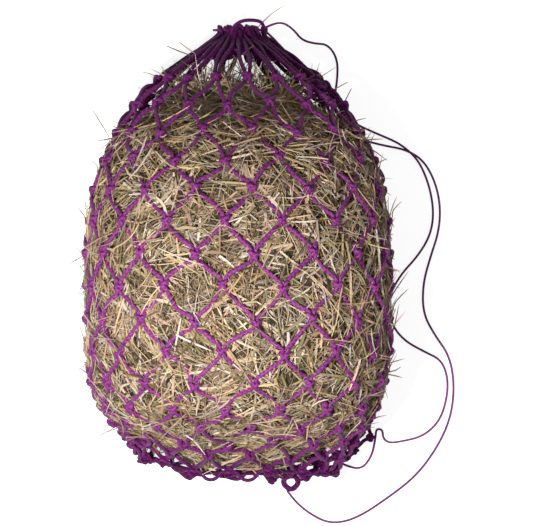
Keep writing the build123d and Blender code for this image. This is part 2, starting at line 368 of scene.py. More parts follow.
# ---- the two loose strands of the draw cord, as control points in millimetres
drawCord = {"diameter": 3.0 * mm, "sides": 12}
low = 1.5
shortStrand = [
    (37.5, 312.5, 21), (48, 318, 14), (61, 319.5, 5), (75, 310, low), (86, 296, low),
    (103, 291, low), (122, 290, low), (135, 270, low), (135, 243, low), (131, 219, low),
    (138, 198, low), (157, 182, low), (188, 168, low), (214, 157, 2.5), (226, 149, 8),
    (240, 137, 8), (251, 121, 2.5), (262, 92, low), (267, 58, low), (262, 28, low),
    (245, 0, low), (221, -26, low), (205, -56, low), (207, -90, low), (225, -115, low),
    (254, -131, low), (277, -142, low), (286, -166, low), (285, -194, low), (275, -226, low),
    (252, -247, low), (222, -254, low), (205, -256, low), (197, -249, low), (197, -238, low),
    (188, -236, low), (187, -250, low), (182, -274, low), (168, -292, low), (148, -288, low),
    (131, -279, 5),
]
longStrand = [
    (36.5, 307, 20.5), (47, 298, 13), (58, 286, 4), (72, 273, low), (92, 256, low),
    (115, 238, low), (123, 216, low), (130, 192, low), (148, 170, low), (172, 158, low),
    (200, 151, low), (228, 146, low), (252, 132, low), (268, 104, low), (276, 70, low),
    (274, 34, low), (262, -2, low), (252, -38, low), (252, -78, low), (268, -108, low),
    (288, -136, low), (295, -174, low), (291, -218, low), (274, -258, low), (244, -300, low),
    (204, -331, low), (160, -360, low), (124, -367, low), (94, -351, low), (74, -333, low),
    (66, -321, 3),
]


def splineLine(points, closed=False, steps=8):
    curve = bpy.data.curves.new("route", "CURVE")
    curve.dimensions = "3D"
    spline = curve.splines.new("NURBS")
    spline.points.add(len(points) - 1)
    for point, place in zip(spline.points, points):
        point.co = (*(c * mm for c in place), 1)
    spline.order_u = 3
    spline.use_endpoint_u = not closed
    spline.use_cyclic_u = closed
    spline.resolution_u = steps
    route = bpy.data.objects.new("route", curve)
    line = np.array([v.co[:] for v in bpy.data.meshes.new_from_object(route).vertices])
    bpy.data.objects.remove(route)
    return line


def layStrand(name, points, node):
    line = splineLine(points)
    mesh = tubeMesh(name, [(line, drawCord["diameter"] / 2, drawCord["sides"], False)])
    strand = finishPiece(name, mesh, cordPurple, [node])
    laid = np.linalg.norm(np.diff(line, axis=0), axis=1).sum()
    print(name, "is", round(laid, 3), "m long")


layStrand("drawCordShortStrand", shortStrand, "draw_cord_short_strand")
layStrand("drawCordLongStrand", longStrand, "draw_cord_long_strand")


# ---- the net's knots and legs, read from the frame
def looseParts(node):
    mesh = frame["nodes"][node].data
    places = np.empty(len(mesh.vertices) * 3)
    mesh.vertices.foreach_get("co", places)
    places = places.reshape(-1, 3)
    keys = np.round(places, 6)
    _, first, welded = np.unique(keys, axis=0, return_index=True, return_inverse=True)
    corners = np.empty(len(mesh.loops), dtype=int)
    mesh.loops.foreach_get("vertex_index", corners)
    corners = welded.ravel()[corners].reshape(-1, 3)
    label = np.arange(len(first))
    changed = True
    while changed:
        before = label.copy()
        lowest = label[corners].min(axis=1)
        for side in range(3):
            np.minimum.at(label, corners[:, side], lowest)
        label = label[label]
        changed = (label != before).any()
    spots = places[first]
    return [spots[label == part] for part in np.unique(label)]


def middle(points):
    return (points.min(axis=0) + points.max(axis=0)) / 2


def barEnds(points):
    centre = points.mean(axis=0)
    axis = np.linalg.svd(points - centre, full_matrices=False)[2][0]
    spans = (points - centre) @ axis
    return centre + axis * spans.min(), centre + axis * spans.max()


def nearest(places, spot):
    return int(np.linalg.norm(places - spot, axis=1).argmin())


knotNodes = sorted(n for n in frame["nodes"] if n.startswith("net_knots_"))
knots = [np.array([middle(part) for part in looseParts(node)]) for node in knotNodes]
lastRow = len(knots) - 1


def zigzag(row, legs):
    # the course in walking order: upper knot, lower knot, next upper knot and so on, round the net
    pairs = []
    for ends in legs:
        heights = [np.linalg.norm(knots[row] - end, axis=1).min() for end in ends]
        top, bottom = ends if heights[0] < heights[1] else ends[::-1]
        pairs.append((nearest(knots[row], top), nearest(knots[row + 1], bottom)))
    order = list(pairs[0])
    left = set(range(1, len(pairs)))
    while left:
        side = 1 if len(order) % 2 == 0 else 0
        step = next(i for i in sorted(left) if pairs[i][side] == order[-1])
        left.remove(step)
        order.append(pairs[step][1 - side])
    return order[:-1]


courseOrder = []
barSpots = []
for row in range(lastRow):
    legs = [barEnds(part) for part in looseParts(f"net_course_{row + 2:02d}")]
    courseOrder.append(zigzag(row, legs))
    for start, end in legs:
        barSpots += [start + (end - start) * share for share in np.linspace(0, 1, 13)]
for row in knots:
    barSpots += list(row)
print("net read:", len(knots), "rows of knots,", len(courseOrder), "courses")

# the slack left corner of the base has drawn up towards the mouth
corner = {"lift": 19 * mm, "fromX": -0.05, "toX": -0.135, "fromY": -0.19, "toY": -0.285}


def settled(place):
    share = np.clip([(place[0] - corner["fromX"]) / (corner["toX"] - corner["fromX"]),
                     (place[1] - corner["fromY"]) / (corner["toY"] - corner["fromY"])], 0, 1)
    share = share * share * (3 - 2 * share)
    return np.array([place[0], place[1] + corner["lift"] * share[0] * share[1], place[2]])


knots = [np.array([settled(place) for place in row]) for row in knots]
bagMiddle = np.mean([row.mean(axis=0) for row in knots[3:]], axis=0)


def localFrame(here, before, after):
    # at a knot: along the row, towards the mouth, outwards
    along = after - before
    along /= np.linalg.norm(along)
    axis = np.array([0.0, here[1], bagMiddle[2] * min(1.0, here[2] / bagMiddle[2] + 0.4)])
    outward = here - axis
    slope = np.interp(here[1], [-0.30, -0.22, 0.05, 0.24], [-1.1, -0.5, 0.12, 0.62])
    outward /= np.linalg.norm(outward)
    outward = outward + np.array([0, slope, 0])
    outward -= along * (along @ outward)
    outward /= np.linalg.norm(outward)
    mouthward = np.cross(outward, along)
    if mouthward[1] < 0:
        mouthward = -mouthward
    return along, mouthward, outward


def placed(here, axes, points, scale=1.0):
    return [here + mm * scale * (p[0] * axes[0] + p[1] * axes[1] + p[2] * axes[2]) for p in points]


# ---- netting: each course is one closed run of twine, and its legs end in knots
twine = {
    "diameter": 5.8 * mm, "sides": 10, "step": 2.6 * mm, "bow": 2.2 * mm,
    "inKnot": 0.86, "knotReach": 9 * mm,  # how thin it is pulled in a knot, and how far from one
    "uneven": 0.02, "knotSize": (1.0, 1.16),
}
# how the twine runs in a knot, in millimetres along the row, towards the mouth and outwards
bight = [
    (-3.2, 6.5, 0.4), (-3.4, 1.5, 0.2), (-2.0, -2.4, -0.2),
    (2.0, -2.4, -0.2), (3.4, 1.5, 0.2), (3.2, 6.5, 0.4),
]
wrap = [
    (-3.0, -7.5, 0.6), (-2.8, -3.6, 3.0), (0.6, 0.6, 5.0), (5.2, 2.6, 1.6), (3.2, 3.2, -3.8),
    (-3.4, 2.4, -3.8), (-5.6, 1.0, 0.8), (-1.8, -1.4, 4.8), (2.2, -4.2, 2.8), (3.0, -7.5, 0.6),
]
baseWrap = [
    (-8.0, -0.5, 0.0), (-3.5, -0.5, 3.6), (1.5, 2.0, 4.6), (4.6, 2.6, 0.4), (1.5, 2.4, -4.2),
    (-4.0, 1.0, -3.8), (-5.4, -1.2, 0.6), (0.0, -2.0, 4.8), (4.5, -1.0, 3.0), (8.0, -0.5, 0.0),
]


def legPoints(start, end, random, bow):
    # two places along a leg, a little off the straight line, as slack twine lies
    middleOff = random.normal(0, bow, 3)
    return [
        start + (end - start) * 0.33 + middleOff * 0.9,
        start + (end - start) * 0.67 + middleOff + random.normal(0, bow * 0.4, 3),
    ]


def joinGroups(groups, random, bow):
    # groups of knot points joined by legs, as one closed list, with True where it is in a knot
    points, inKnot = [], []
    for group, following in zip(groups, groups[1:] + groups[:1]):
        points += group
        inKnot += [True] * len(group)
        legs = legPoints(group[-1], following[0], random, bow)
        points += legs
        inKnot += [False] * len(legs)
    return points, inKnot


def twineTube(points, inKnot, random, radius=twine["diameter"] / 2):
    points = np.array(points)
    line = smoothLine(points, twine["step"], closed=True)
    tight = np.array([p for p, held in zip(points, inKnot) if held])
    tree = kdtree.KDTree(len(tight))
    for i, place in enumerate(tight):
        tree.insert(place, i)
    tree.balance()
    near = np.array([tree.find(place)[2] for place in line])
    share = twine["inKnot"] + (1 - twine["inKnot"]) * np.clip(near / twine["knotReach"], 0, 1)
    radii = radius * share * (1 + random.normal(0, twine["uneven"], len(line)))
    line[:, 2] = np.maximum(line[:, 2], radii * 1.02)
    return line, radii, twine["sides"], True


def ringFrames(row, order):
    spots = knots[row]
    return [localFrame(spots[k], spots[order[i - 1]], spots[order[(i + 1) % len(order)]])
            for i, k in enumerate(order)]


for row, order in enumerate(courseOrder):
    random = randomFrom(100 + row)
    upper, lower = order[0::2], order[1::2]
    upperFrames, lowerFrames = ringFrames(row, upper), ringFrames(row + 1, lower)
    groups = []
    for i in range(len(upper)):
        size = random.uniform(*twine["knotSize"])
        groups.append(placed(knots[row][upper[i]], upperFrames[i], wrap, size))
        groups.append(placed(knots[row + 1][lower[i]], lowerFrames[i], bight))
    points, inKnot = joinGroups(groups, random, twine["bow"])
    name = f"netCourse{row + 2:02d}"
    mesh = tubeMesh(name, [twineTube(points, inKnot, random)])
    finishPiece(name, mesh, purple, [f"net_course_{row + 2:02d}", knotNodes[row]])
print("netting knotted:", len(courseOrder), "courses")


# ---- mouth: a mesh over the draw cord for each pair of knots in the first row
def cadMiddle(node):
    low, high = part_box(node)
    return np.array((low + high) / 2)


mouth = {
    "reach": 4.6 * mm, "tighter": 0.9, "looser": 1.2,  # how far each mesh's loop reaches over the cord
    "bunch": 0.78, "spread": 1.12, "sideways": 1.9, "lengthways": 1.2, "lean": 2.4,
    "width": 1.5 * mm, "below": 5 * mm,
}


def mouthCourse():
    random = randomFrom(7)
    order = courseOrder[0][0::2]
    frames = ringFrames(0, order)
    ends = {k: [] for k in order}
    for part in looseParts("mouth_legs"):
        a, b = barEnds(part)
        bottom, top = (a, b) if a[1] < b[1] else (b, a)
        ends[nearest(knots[0], bottom)].append(top)
    bights = [middle(part) for part in looseParts("mouth_bights")]
    levels = np.array([b[2] for b in bights])
    runs = {}
    for upper in (True, False):
        run = [b for b, z in zip(bights, levels) if (z > levels.mean()) == upper]
        runs[upper] = sorted(run, key=lambda b: b[0])
    meshes = []
    for i, k in enumerate(order):
        following = order[(i + 1) % len(order)]
        pair = [(a, b) for a in ends[k] for b in ends[following]]
        start, end = min(pair, key=lambda ab: np.linalg.norm(ab[0] - ab[1]))
        meshes.append((start, end))
    centres = np.array([(a + b) / 2 for a, b in meshes])
    above = np.zeros(len(meshes), bool)
    above[np.argsort(-centres[:, 2])[: len(runs[True])]] = True
    seat = {}
    for side in (True, False):
        members = [i for i in range(len(meshes)) if above[i] == side]
        for i, spot in zip(sorted(members, key=lambda i: centres[i][0]), runs[side]):
            seat[i] = spot
    groups = []
    cordLine = cadMiddle("draw_cord_in_mouth")
    for i, k in enumerate(order):
        groups.append(placed(knots[0][k], frames[i], bight))
        start, end = meshes[i]
        x, z = seat[i][0] * mouth["spread"], seat[i][2]
        spread = mouth["width"] if end[0] > start[0] else -mouth["width"]
        x = x + random.normal(0, mouth["sideways"]) * mm
        y = cordLine[1] + random.normal(0, mouth["lengthways"]) * mm
        lean = random.normal(0, mouth["lean"]) * mm
        reach = mouth["reach"] * random.uniform(mouth["tighter"], mouth["looser"])
        squeeze = mouth["bunch"]
        gathered = [(leg[0] * squeeze, leg[1] + 2 * mm, z + (leg[2] - z) * squeeze) for leg in (start, end)]
        loop = [
            gathered[0], (x - spread, y - mouth["below"], z + reach),
            (x - spread * 0.5, y + reach * 0.4, z + reach), (x + lean, y + reach, z),
            (x + spread * 0.5, y + reach * 0.4, z - reach),
            (x + spread, y - mouth["below"], z - reach), gathered[1],
        ]
        groups.append([np.array(place) for place in loop])
    points, inKnot = joinGroups(groups, random, twine["bow"] * 0.6)
    mesh = tubeMesh("netMouth", [twineTube(points, inKnot, random)])
    finishPiece("netMouth", mesh, shadedPurple, ["mouth_gather", "mouth_legs", "mouth_bights"])


mouthCourse()


# ---- draw cord where the mouth holds it, its knot, and the loop over the mouth
def heldCord():
    low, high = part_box("draw_cord_in_mouth")
    radius = drawCord["diameter"] / 2
    left, right = low.x + radius, high.x - radius
    bottom, top = low.z + radius, high.z - radius
    y = (low.y + high.y) / 2
    bend = (top - bottom) / 2
    route = []
    for x in np.linspace(left + bend, right - bend, 6):
        route.append((x, y, top))
    for turn in np.linspace(60, -60, 3):
        route.append((right - bend + bend * math.cos(math.radians(turn)), y,
                      bottom + bend + bend * math.sin(math.radians(turn))))
    for x in np.linspace(right - bend, left + bend, 6):
        route.append((x, y, bottom))
    for turn in np.linspace(240, 120, 3):
        route.append((left + bend + bend * math.cos(math.radians(turn)), y,
                      bottom + bend + bend * math.sin(math.radians(turn))))
    line = smoothLine(route, 2 * mm, closed=True)
    mesh = tubeMesh("drawCordInMouth", [(line, radius, drawCord["sides"], True)])
    finishPiece("drawCordInMouth", mesh, cordPurple, ["draw_cord_in_mouth"])


def overhand(centre, size, turns=3, lobes=2, tilt=0.4):
    # a tightened knot: the cord winds round itself
    line = []
    for t in np.linspace(0, 2 * math.pi, 90, endpoint=False):
        r = size * (0.62 + 0.36 * math.cos(turns * t))
        a = lobes * t
        x, y, z = r * math.cos(a), r * math.sin(a), size * 0.5 * math.sin(turns * t)
        tilted = (y * math.cos(tilt) - z * math.sin(tilt), y * math.sin(tilt) + z * math.cos(tilt))
        line.append(centre + np.array([x, *tilted]))
    return np.array(line)


def cordTie():
    centre = cadMiddle("draw_cord_tie")
    size = (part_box("draw_cord_tie")[1].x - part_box("draw_cord_tie")[0].x) / 2
    radius = drawCord["diameter"] / 2
    knotLine = overhand(centre, size - radius)
    mesh = tubeMesh("drawCordTie", [(knotLine, radius * 1.02, drawCord["sides"], True)])
    finishPiece("drawCordTie", mesh, cordPurple, ["draw_cord_tie"])


def cordLoop():
    low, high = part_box("draw_cord_loop")
    tie = cadMiddle("draw_cord_tie") / mm
    radius = drawCord["diameter"] / 2
    highest, top, left = (high.z - radius) / mm, (high.y - radius) / mm, (low.x + radius) / mm
    route = [
        (left - 1, top - 26, highest - 2), (left, top - 12, highest), (left + 13, top - 1, highest),
        (left + 31, top, highest - 4), (tie[0] - 1, top - 3, highest - 9), tuple(tie),
    ]
    line = splineLine(route)
    mesh = tubeMesh("drawCordLoop", [(line, drawCord["diameter"] * 0.8, drawCord["sides"], False)])
    finishPiece("drawCordLoop", mesh, shadedPurple, ["draw_cord_loop"])


folds = {
    "count": 58, "shallow": 8 * mm, "deep": 40 * mm, "widen": 2.3, "widenOver": 30 * mm,
    "narrow": 3.4 * mm, "top": 1.15, "leftDrop": 0.25,
}


def mouthFolds():
    # slack meshes bunched under the draw cord: one run of twine, up and down in narrow folds
    random = randomFrom(9)
    low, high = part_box("mouth_bights")
    middleZ, halfRun = (low.z + high.z) / 2, (high.x - low.x) / 2 - 3 * mm
    points = []
    for fold in range(folds["count"]):
        turn = fold / folds["count"] * 2 * math.pi
        x = halfRun * math.cos(turn) * random.uniform(0.5, 1.0)
        z = middleZ + (high.z - low.z) * 0.3 * math.sin(turn)
        depth = random.uniform(folds["shallow"], folds["deep"])
        wide = 1 + (folds["widen"] - 1) * depth / folds["widenOver"]
        bottom = np.array([x * wide, low.y - depth, middleZ + (z - middleZ) * wide + depth * 0.7])
        side = np.array([-math.sin(turn), 0, 0.6 * math.cos(turn)]) * folds["narrow"]
        topY = low.y + random.uniform(-5, 7) * mm - max(0, -x) * folds["leftDrop"]
        top = np.array([x * folds["top"], topY, z + random.normal(0, 3) * mm])
        half = (top + bottom) / 2
        points += [
            top - side * 0.7, half - side * 1.2, bottom - side,
            bottom + side + [0, 2 * mm, 0], half + side * 1.2, top + side * 0.7,
        ]
    inKnot = [False] * len(points)
    inKnot[0] = True
    mesh = tubeMesh("netMouthFolds", [twineTube(points, inKnot, random)])
    finishPiece("netMouthFolds", mesh, shadedPurple)


def surfaceAt(x, y, lift):
    # a place on the upper side of the netting, at millimetres x and y
    spots = np.array([k for row in knots for k in row if k[2] > 0.03])
    near = np.argsort(np.hypot(spots[:, 0] - x * mm, spots[:, 1] - y * mm))[:3]
    weights = 1 / (np.hypot(spots[near, 0] - x * mm, spots[near, 1] - y * mm) + 4 * mm)
    return np.array([x * mm, y * mm, (spots[near, 2] @ weights) / weights.sum() + lift * mm])


tail = {
    "route": [(36, 300, 30), (47, 290, 38), (58, 282, 44), (72, 270, 52), (88, 257, 58), (104, 247, 66),
              (112, 238, 74)],
    "strand": 2.6 * mm, "wound": 2.9 * mm, "turn": 1.5, "lumpStrand": 2.7 * mm, "lump": 11 * mm,
    "looseStrand": 2.3 * mm,
}


def neckTail():
    # the doubled end of the top mesh, drawn down the right edge of the neck to a lump on the shoulder
    random = randomFrom(12)
    start = cadMiddle("draw_cord_tie")
    route = [start + [0, -2 * mm, 3 * mm]] + [np.array(p) * mm for p in tail["route"]]
    tubes = []
    for side in (-1, 1):
        wound = []
        for i, place in enumerate(route):
            turn = i * tail["turn"] + (0 if side > 0 else math.pi)
            off = np.array([math.cos(turn), 0.4 * math.cos(turn), math.sin(turn)]) * tail["wound"]
            wound.append(place + off)
        line = smoothLine(wound, 2.4 * mm)
        tubes.append((line, tail["strand"], 10, False))
    lump = surfaceAt(104, 222, 8)
    for i in range(2):
        spot = lump + random.normal(0, 4, 3) * mm
        tubes.append((overhand(spot, tail["lump"], 3, 2, 0.6 + i), tail["lumpStrand"], 10, True))
    loose = [surfaceAt(108, 232, 6), surfaceAt(118, 236, 7), surfaceAt(124, 226, 7), surfaceAt(119, 214, 6),
             surfaceAt(110, 214, 8), surfaceAt(106, 224, 9)]
    tubes.append((smoothLine(loose, 2.4 * mm, closed=True), tail["looseStrand"], 10, True))
    mesh = tubeMesh("neckTail", tubes)
    finishPiece("neckTail", mesh, shadedPurple)


heldCord()
cordTie()
cordLoop()
mouthFolds()
neckTail()
print("mouth gathered on the draw cord")


# ---- base: a closed run of twine through the last knots, and the small ring hitched to it
base = {
    "thin": 0.44, "sag": 0.35, "deepestSag": 11 * mm,
    "ringTurns": 3, "ringTwists": 4, "ringStrand": 2.3 * mm,  # thrice round, twisted on itself
    "hitchStrand": 2.2 * mm,
    "slackStrand": 2.6 * mm, "slackKnotStrand": 2.35 * mm,
    "lacingStrand": 2.6 * mm, "lacingLoose": 1.2,
}


def baseCourse():
    random = randomFrom(31)
    order = courseOrder[-1][1::2]
    frames = ringFrames(lastRow, order)
    groups = [placed(knots[lastRow][k], axes, baseWrap) for k, axes in zip(order, frames)]
    points, inKnot = [], []
    for group, following in zip(groups, groups[1:] + groups[:1]):
        points += group
        inKnot += [True] * len(group)
        gap = np.linalg.norm(following[0] - group[-1])
        sag = np.array([0, -1, -0.25]) * min(gap * base["sag"], base["deepestSag"])
        sag = sag * random.uniform(0.5, 1.1)
        points += [group[-1] * (1 - share) + following[0] * share + sag for share in (0.35, 0.65)]
        inKnot += [False, False]
    mesh = tubeMesh("netBase", [twineTube(points, inKnot, random, twine["diameter"] * base["thin"])])
    finishPiece("netBase", mesh, shadedPurple, ["base_cord", knotNodes[lastRow]])


def baseRing():
    low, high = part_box("base_ring")
    centre = np.array((low + high) / 2)
    tube = (high.z - low.z) / 2
    reach = (high.x - low.x) / 2 - tube
    centre[1] = low.y + reach + tube
    strand = base["ringStrand"]
    winds = []
    for t in np.linspace(0, 2 * math.pi, 150, endpoint=False):
        a, b = base["ringTurns"] * t, base["ringTwists"] * t
        out = reach + (tube - strand) * math.cos(b)
        winds.append(centre + np.array([out * math.cos(a), out * math.sin(a), (tube - strand) * math.sin(b)]))
    mesh = tubeMesh("baseRing", [(np.array(winds), strand, 10, True)])
    finishPiece("baseRing", mesh, shadedPurple, ["base_ring"])
    spot = cadMiddle("base_ring_hitch")
    size = (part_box("base_ring_hitch")[1].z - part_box("base_ring_hitch")[0].z) / 2
    hitchLine = overhand(spot, size - base["hitchStrand"], 3, 2, 1.1)
    hitch = tubeMesh("baseHitch", [(hitchLine, base["hitchStrand"], 10, True)])
    finishPiece("baseHitch", hitch, shadedPurple, ["base_ring_hitch"])


slackLoops = {
    # loose meshes past the hay at the base, in millimetres
    "side": [
        (148, -196, 34), (160, -202, 20), (171, -210, 9), (180, -222, 4), (178, -236, 3.2), (181, -248, 3.2),
        (172, -252, 4), (160, -262, 3.5), (150, -258, 5), (140, -250, 9), (134, -240, 20), (142, -220, 34),
    ],
    "corner": [
        (128, -256, 14), (138, -254, 8), (148, -262, 3.4), (158, -266, 3.2), (150, -274, 3.2),
        (138, -270, 3.6), (126, -276, 4), (112, -286, 3.4), (104, -290, 5), (110, -276, 12), (118, -262, 18),
    ],
    "fringe": [
        (30, -288, 8), (36, -300, 4), (45, -309, 3.2), (54, -300, 4), (62, -292, 9), (74, -287, 12),
        (84, -300, 5), (92, -306, 3.2), (101, -296, 4), (108, -284, 10), (94, -280, 16), (70, -280, 18),
        (48, -282, 16),
    ],
    "left": [
        (-88, -286, 8), (-80, -296, 4), (-68, -304, 3.2), (-56, -296, 4), (-44, -287, 8), (-28, -292, 5),
        (-14, -303, 3.2), (0, -305, 3.2), (12, -294, 4), (18, -284, 9), (-8, -281, 15), (-50, -281, 16),
    ],
}
slackKnots = [
    # place and size, in millimetres
    (180, -221, 7, 7), (180, -248, 5.5, 6.5), (145, -257, 7, 7), (158, -266, 5, 6), (112, -283, 10, 9),
    (98, -277, 13, 10), (104, -270, 12, 9), (45, -307, 5, 6), (90, -303, 5.5, 6.5), (-68, -301, 5.5, 6.5),
]


def slackMeshes():
    tubes = []
    for places in slackLoops.values():
        line = smoothLine(np.array(places) * mm, twine["step"], closed=True)
        tubes.append((line, base["slackStrand"], twine["sides"], True))
    for x, y, z, size in slackKnots:
        lump = overhand(np.array([x, y, z]) * mm, (size - 1) * mm, 3, 2, x)
        lump[:, 2] = np.maximum(lump[:, 2], 2.4 * mm)
        tubes.append((lump, base["slackKnotStrand"], 8, True))
    mesh = tubeMesh("slackMeshes", tubes)
    finishPiece("slackMeshes", mesh, shadedPurple)


def baseLacing():
    # the open end of the net is laced shut, to and fro between its upper and its lower knots
    random = randomFrom(40)
    rim = knots[lastRow]
    level = (rim[:, 2].max() + rim[:, 2].min()) / 2
    upper = sorted((k for k in rim if k[2] > level), key=lambda k: k[0])
    lower = sorted((k for k in rim if k[2] <= level), key=lambda k: k[0])
    route = []
    for i, spot in enumerate(upper):
        below = lower[min(round(i * len(lower) / len(upper)), len(lower) - 1)]
        for end, turn in ((below, -1), (spot, 1)):
            end = end + np.array([0, -5 * mm, 0])
            route += [end + np.array([-4, 0, turn * 3]) * mm, end + np.array([0, -3, turn * 7]) * mm,
                      end + np.array([4, 0, turn * 3]) * mm]
    loose = []
    for i, place in enumerate(route):
        off = random.normal(0, base["lacingLoose"], 3) * mm
        loose.append(np.array(place) + off * (0 if i % 3 == 1 else 1))
    line = smoothLine(loose, twine["step"])
    line[:, 2] = np.maximum(line[:, 2], 2.9 * mm)
    mesh = tubeMesh("baseLacing", [(line, base["lacingStrand"], twine["sides"], False)])
    finishPiece("baseLacing", mesh, shadedPurple)


baseCourse()
baseRing()
baseLacing()
slackMeshes()
print("base and ring made")

# ---- hay: a dense core that swells through the meshes, under layers of loose stalks
hay = {
    "step": 6 * mm, "swell": 9 * mm, "underSwell": 12 * mm, "reach": 20 * mm, "lumps": 2.45 * mm,
    "sunk": 1.5 * mm,
}
barTree = kdtree.KDTree(len(barSpots))
for index, spot in enumerate(barSpots):
    barTree.insert(spot, index)
barTree.balance()


def hayCore():
    deselectAll()
    source = frame["nodes"]["hay_core"]
    mesh = source.data.copy()
    mesh.materials.clear()
    core = bpy.data.objects.new("hayCore", mesh)
    bpy.context.collection.objects.link(core)
    bpy.context.view_layer.objects.active = core
    core.select_set(True)
    weld = core.modifiers.new("weld", "WELD")
    weld.merge_threshold = 0.01 * mm
    bpy.ops.object.modifier_apply(modifier=weld.name)
    remesh = core.modifiers.new("remesh", "REMESH")
    remesh.mode = "VOXEL"
    remesh.voxel_size = hay["step"]
    bpy.ops.object.modifier_apply(modifier=remesh.name)
    for vertex in core.data.vertices:
        place, outward = vertex.co.copy(), vertex.normal.copy()
        share = min(barTree.find(place)[2] / hay["reach"], 1.0)
        share = share * share * (3 - 2 * share)
        swell = hay["swell"] if outward.z > -0.5 else hay["underSwell"]
        lump = 1.5 * noise.noise(place * 22) + noise.noise(place * 45) + 0.5 * noise.noise(place * 95)
        vertex.co = place + outward * (swell * share + hay["lumps"] * lump - hay["sunk"])
        vertex.co.z = max(vertex.co.z, 0.8 * mm)
        vertex.co = settled(vertex.co)
    for polygon in core.data.polygons:
        polygon.use_smooth = True
    core.data.materials.append(hayCoreShade)
    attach(core, "root")
    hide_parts("hay_core", "hay_bulges_under")
    return core


core = hayCore()
print("hay core:", len(core.data.polygons), "faces")

coreTree = BVHTree.FromPolygons(
    [v.co for v in core.data.vertices], [tuple(p.vertices) for p in core.data.polygons]
)
corePlaces = np.array([p.center[:] for p in core.data.polygons])
coreAreas = np.array([p.area for p in core.data.polygons])
coreNormals = np.array([p.normal[:] for p in core.data.polygons])

# depth over the core, length and half thickness are from and to in millimetres; bend is in
# millimetres; dark multiplies the stalk's own colour, and is painted shade in the deep and middle layers
stalkLayers = {
    "hayDeepStalks": {
        "count": 6000, "depth": (-9, -2), "length": (30, 75), "half": (0.9, 1.7), "bend": 7, "dark": 0.11},
    "hayMiddleStalks": {
        "count": 6000, "depth": (-4, 2), "length": (26, 80), "half": (0.8, 1.6), "bend": 7, "dark": 0.42},
    "hayUpperStalks": {
        "count": 5200, "depth": (-0.5, 5.5), "length": (24, 80), "half": (0.7, 1.5), "bend": 6, "dark": 0.92},
    "hayBlades": {
        "count": 2200, "depth": (-2, 5), "length": (25, 85), "half": (1.5, 2.9), "bend": 9, "dark": 0.88},
    "hayPaleStraws": {
        "count": 900, "depth": (1, 7), "length": (35, 95), "half": (1.1, 1.9), "bend": 3, "dark": 1.3},
    "hayHairs": {
        "count": 4200, "depth": (0, 8), "length": (18, 60), "half": (0.3, 0.55), "bend": 9, "dark": 1.1},
    "hayStrays": {
        "count": 1500, "depth": (1, 7), "length": (28, 80), "half": (0.45, 1.1), "bend": 7, "dark": 1.05},
}
straws = np.array([
    (0.70, 0.545, 0.345), (0.84, 0.73, 0.55), (0.60, 0.445, 0.26), (0.47, 0.375, 0.19), (0.35, 0.31, 0.14),
    (0.62, 0.41, 0.29), (0.92, 0.86, 0.74), (0.24, 0.17, 0.08), (0.68, 0.45, 0.35), (0.30, 0.19, 0.11),
])
strawShares = np.array([0.20, 0.17, 0.14, 0.15, 0.10, 0.03, 0.10, 0.06, 0.02, 0.03])
strawShade = {
    "bright": (0.92, 0.33), "tint": (1.0, 0.94, 0.98), "uneven": 0.015, "darkest": 0.012, "palest": 0.8,
}
stalkTop = 0.321  # no stalk of the layers stands higher than this
swirls = randomFrom(77).normal(0, 26, (3, 3))
swirlStarts = np.array([0.3, 1.7, 2.9])


def stalkMesh(name, random, facts, stray):
    count = facts["count"]
    stations = 5
    weights = coreAreas * np.where(corePlaces[:, 2] < 0.03, 0.5, 1.0)
    if stray:  # more of them where the hay comes out at the neck and the base
        weights = weights * np.interp(corePlaces[:, 1], [-0.26, -0.2, 0.12, 0.18], [3, 1, 1, 4])
    picks = random.choice(len(corePlaces), count, p=weights / weights.sum())
    bases, outward = corePlaces[picks], coreNormals[picks]
    drift = np.sin(bases @ swirls + swirlStarts)  # neighbours lie roughly the same way, in clumps
    way = drift * random.choice([0.0, 1.5], (count, 1)) + random.normal(0, 0.8, (count, 3))
    side = np.cross(outward, way)
    side /= np.linalg.norm(side, axis=1, keepdims=True)
    lengths = random.uniform(*facts["length"], count) * mm
    lengths *= random.choice([1.0, 0.6], count)
    depth = random.uniform(*facts["depth"], (count, 1)) * mm
    tip = random.normal(0, 2.2, (count, 2)) * mm  # each end dips or rises on its own
    bend = random.normal(0, facts["bend"], count) * mm * (lengths / (80 * mm))
    across = np.cross(outward, side)
    places = np.empty((count, stations, 3))
    heights = np.empty((count, stations))
    for s, share in enumerate(np.linspace(-0.5, 0.5, stations)):
        bow = (0.25 - share * share) * 4
        places[:, s] = bases + side * (lengths * share)[:, None] + across * (bend * bow)[:, None]
        heights[:, s] = depth[:, 0] + tip[:, 0] * max(0, -share) * 2 + tip[:, 1] * max(0, share) * 2
    if stray:
        lift = random.uniform(4, 24, count) * mm * random.choice([1.0, 0.45], count)
        for s, share in enumerate(np.linspace(0, 1, stations)):
            heights[:, s] += lift * share * share
    normals = np.empty_like(places)
    for i in range(count):
        for s in range(stations):
            found = coreTree.find_nearest(places[i, s])
            place, normal = found[0], found[1]
            places[i, s] = place
            normals[i, s] = normal
    smooth = normals.copy()
    smooth[:, 1:-1] = (normals[:, :-2] + normals[:, 1:-1] * 2 + normals[:, 2:]) / 4
    smooth = smooth * 0.4 + outward[:, None, :] * 0.6
    smooth /= np.linalg.norm(smooth, axis=2, keepdims=True)
    places = places + smooth * heights[:, :, None]
    eased = places.copy()  # take the core's small lumps out of the stalk
    eased[:, 1:-1] = (places[:, :-2] + places[:, 1:-1] + places[:, 2:]) / 3
    eased[:, :, 2] = np.minimum(eased[:, :, 2], stalkTop)
    places[:, :, 2] = np.minimum(places[:, :, 2], stalkTop)
    shares = np.linspace(0, 1, stations)[None, :, None]
    straight = places[:, :1] + (places[:, -1:] - places[:, :1]) * shares
    places = eased * 0.8 + straight * 0.2
    return stalkBodies(name, random, facts, places, smooth)


